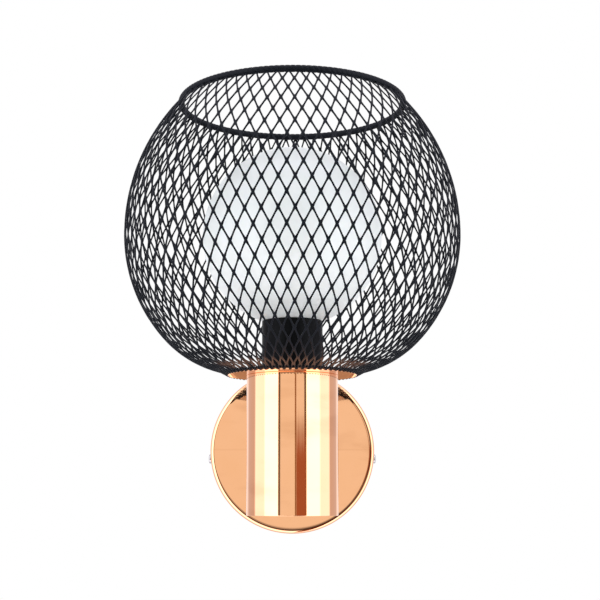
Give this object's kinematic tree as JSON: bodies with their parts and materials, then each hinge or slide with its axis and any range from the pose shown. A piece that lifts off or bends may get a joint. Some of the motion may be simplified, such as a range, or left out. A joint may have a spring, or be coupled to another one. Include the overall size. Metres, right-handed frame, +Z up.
{
  "type": "wall light",
  "caption": "Wall light: a black expanded-metal basket round an opal globe lamp, on an upright copper tube with an arm and a round canopy.",
  "frame": {"origin": "on the wall, midway between the two wall-screw slots and level with the arm", "axes": "+Z up, +Y into the wall, +X to the right along the wall as seen from the room"},
  "size_m": [0.2346, 0.2419, 0.3054],
  "materials": {
    "copper": "polished copper plate",
    "black_steel": "satin black",
    "black_cup": "satin black",
    "zinc_steel": "zinc plated",
    "bright_steel": "polished",
    "brass": "plain",
    "nylon": "natural",
    "ceramic": "glazed",
    "opal_glass": "opal white",
    "lamp_metal": "plain",
    "dark_glaze": "glossy",
    "clear_glass": "clear",
    "phosphor": "coated",
    "lead_brown": "satin",
    "lead_blue": "satin",
    "lead_green": "satin"
  },
  "bodies": {
    "root": {"mounting_plate": "zinc_steel", "earth_screw": "brass", "earth_tag": "brass", "terminal_block": "nylon", "terminal_screws": "brass", "block_screw": "zinc_steel", "canopy": "copper", "side_screws": "bright_steel", "arm_tube": "copper", "arm_rod": "zinc_steel", "arm_nuts": "zinc_steel", "arm_washer": "zinc_steel", "saddle": "zinc_steel", "rod_bushes": "nylon", "body_tube": "copper", "bottom_cap": "copper", "flange_disc": "copper", "holder_nut": "black_cup", "holder_cover": "black_cup", "holder_body": "ceramic", "thread_shell": "brass", "centre_contact": "brass", "contact_screws": "brass", "cage_mesh": "black_steel", "cage_rim": "black_steel", "cage_base": "black_steel", "lead_live": "lead_brown", "lead_neutral": "lead_blue", "lead_earth": "lead_green"},
    "lamp": {"lamp_glass": "opal_glass", "lamp_cap": "lamp_metal", "lamp_insulator": "dark_glaze", "lamp_contact": "lamp_metal", "lamp_stem": "clear_glass", "lamp_strips": "phosphor"}
  },
  "joints": [
    {"name": "lamp_turn", "type": "hinge", "parent": "root", "child": "lamp", "pos_m": [0, -0.125, 0.0613], "axis": [0, 0, 1], "range_deg": [0, 1080]}
  ]
}
